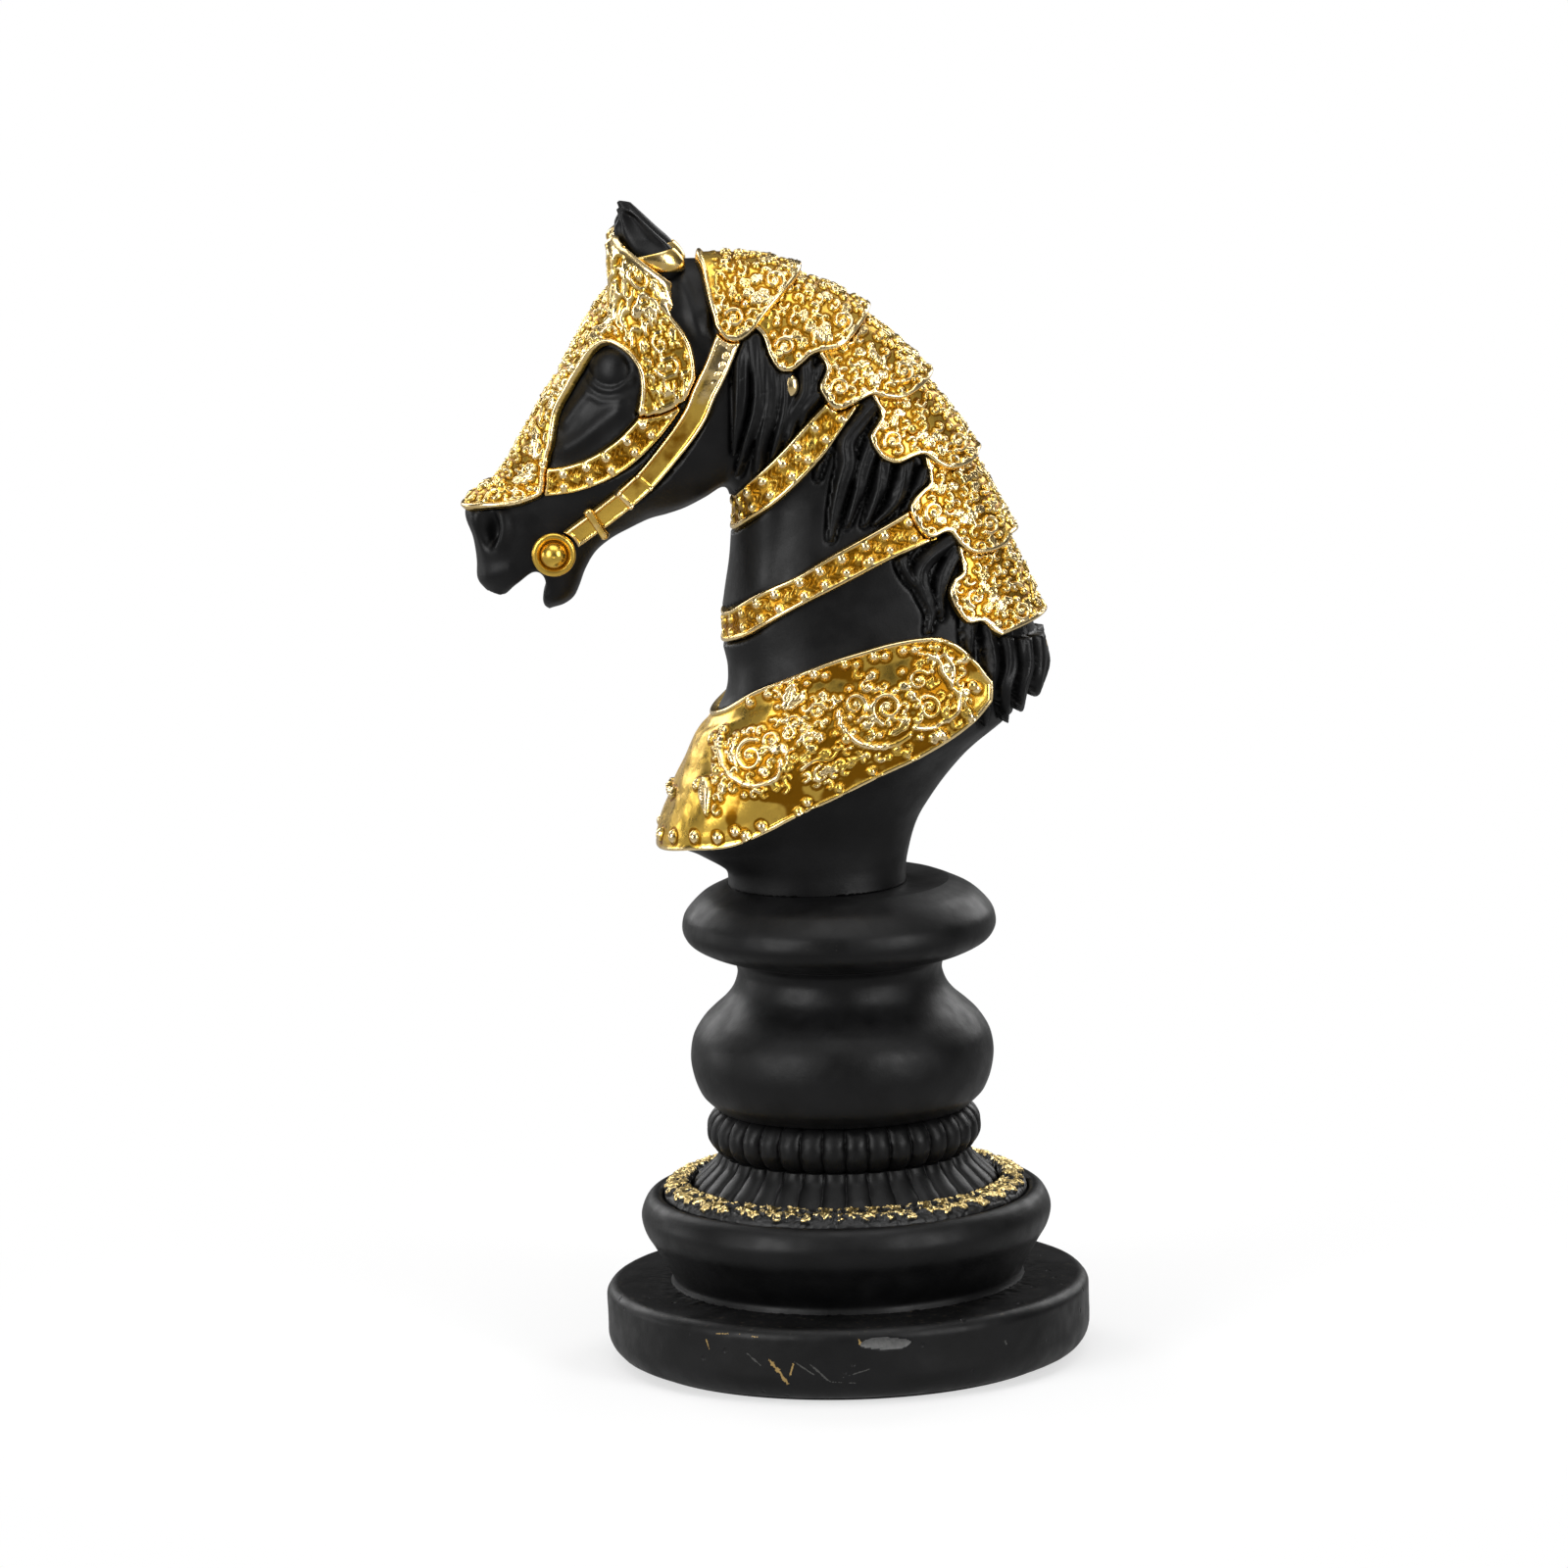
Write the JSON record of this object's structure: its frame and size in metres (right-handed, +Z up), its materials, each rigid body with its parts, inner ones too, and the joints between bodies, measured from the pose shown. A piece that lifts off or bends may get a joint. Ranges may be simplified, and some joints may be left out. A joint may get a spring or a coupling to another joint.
{
  "type": "ornamental chess knight",
  "caption": "Oversized ornamental chess knight: a horse's head and neck in gilt plate barding on a turned black pedestal with a round plinth.",
  "frame": {"origin": "centre of the resting face of the felt pad under the plinth", "axes": "+Z up along the pedestal's axis, -X the way the horse looks, +Y towards the horse's right side"},
  "size_m": [0.1272, 0.1036, 0.2495],
  "materials": {
    "black_resin": "satin",
    "gold_lacquer": "polished, worn to dark in the recesses",
    "brushed_gold": "dry-brushed gold over black",
    "plated_steel": "zinc plated",
    "plain_brass": "machined",
    "felt_pad": "matte felt"
  },
  "bodies": {
    "root": {"foot_pad": "felt_pad", "plinth": "black_resin", "ballast_disc": "plated_steel", "base_drum": "black_resin", "leaf_ring": "brushed_gold", "fluted_skirt": "black_resin", "bead_ring": "black_resin", "baluster": "black_resin", "collar": "black_resin", "tie_rod": "plated_steel", "rod_nut": "plated_steel", "rod_washer": "plated_steel", "bust_insert": "plain_brass", "locating_pins": "plated_steel", "bust": "black_resin", "ear_left": "black_resin", "ear_right": "black_resin", "ear_band_left": "gold_lacquer", "ear_band_right": "gold_lacquer", "chanfron": "gold_lacquer", "eye_strap_left": "gold_lacquer", "eye_strap_right": "gold_lacquer", "cheek_strap_left": "gold_lacquer", "cheek_strap_right": "gold_lacquer", "strap_buckle_left": "gold_lacquer", "strap_buckle_right": "gold_lacquer", "bit_boss_left": "gold_lacquer", "bit_boss_right": "gold_lacquer", "mouth_bar": "gold_lacquer", "crinet_lame_1": "gold_lacquer", "crinet_lame_2": "gold_lacquer", "crinet_lame_3": "gold_lacquer", "crinet_lame_4": "gold_lacquer", "crinet_lame_5": "gold_lacquer", "crinet_lame_6": "gold_lacquer", "neck_band_upper": "gold_lacquer", "neck_band_lower": "gold_lacquer", "peytral": "gold_lacquer", "chanfron_rivets": "gold_lacquer", "crinet_rivets": "gold_lacquer", "band_rivets": "gold_lacquer", "peytral_rivets": "gold_lacquer", "mane_stud_left": "gold_lacquer", "mane_stud_right": "gold_lacquer", "crest_stud": "gold_lacquer"}
  },
  "joints": []
}
